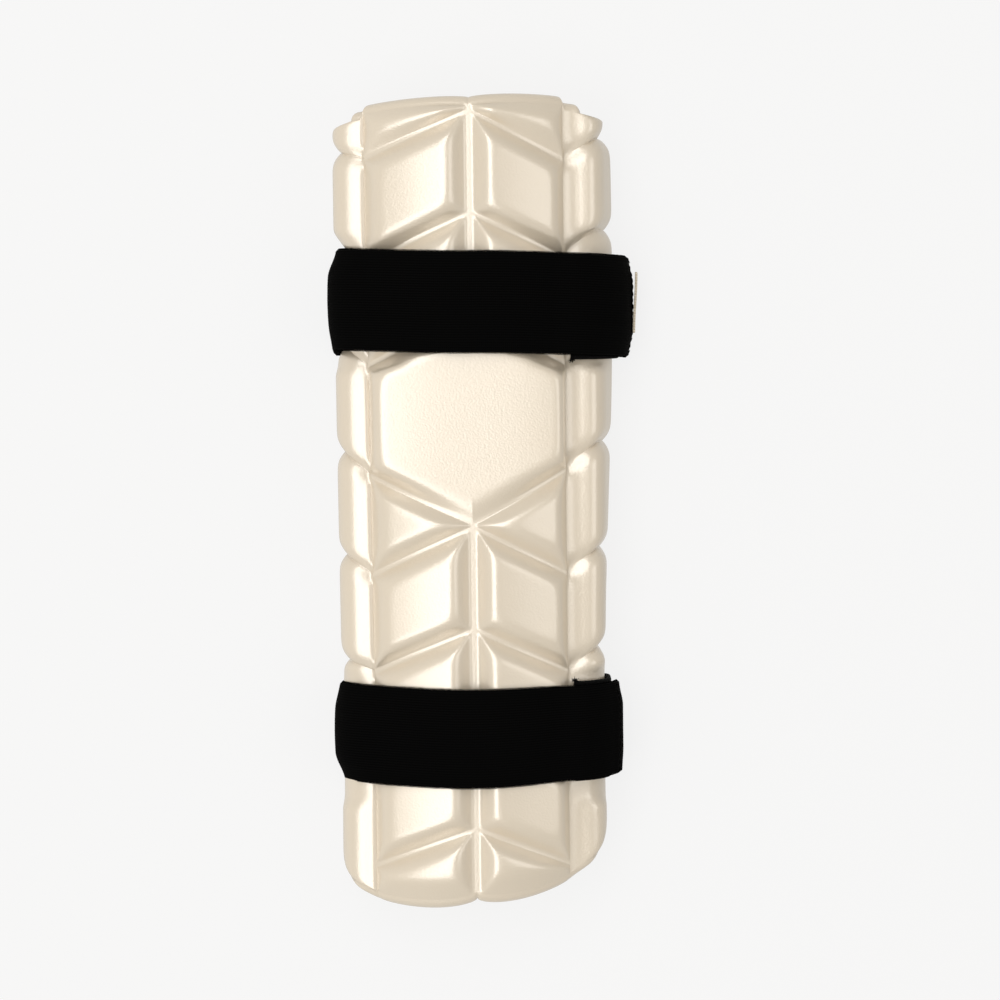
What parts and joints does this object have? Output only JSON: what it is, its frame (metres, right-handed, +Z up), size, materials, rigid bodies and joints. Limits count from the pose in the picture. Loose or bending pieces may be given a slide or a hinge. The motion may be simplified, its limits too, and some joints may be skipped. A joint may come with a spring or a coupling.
{
  "type": "cricket arm guard",
  "caption": "Curved foam forearm guard with raised panels parted by chevron grooves, closed by wide elastic straps with hook-and-loop ends.",
  "frame": {"origin": "under the middle of the whole guard, on the surface that its straps lie on", "axes": "+Z up out of the moulded face, +Y along the forearm towards the elbow end, +X towards the side where the straps close"},
  "size_m": [0.1118, 0.2918, 0.0503],
  "materials": {
    "shell_skin": "pearl cream polyurethane skin over moulded EVA foam",
    "elastic": "black ribbed woven elastic",
    "loop_tape": "black brushed loop tape",
    "hook_tape": "black nylon hook tape",
    "badge_fabric": "plain cream woven label"
  },
  "bodies": {
    "root": {"moulded_shell": "shell_skin", "upper_strap": "elastic", "lower_strap": "elastic", "upper_tab": "loop_tape", "lower_tab": "loop_tape", "upper_hook_patch": "hook_tape", "lower_hook_patch": "hook_tape", "side_badge": "badge_fabric"}
  },
  "joints": []
}
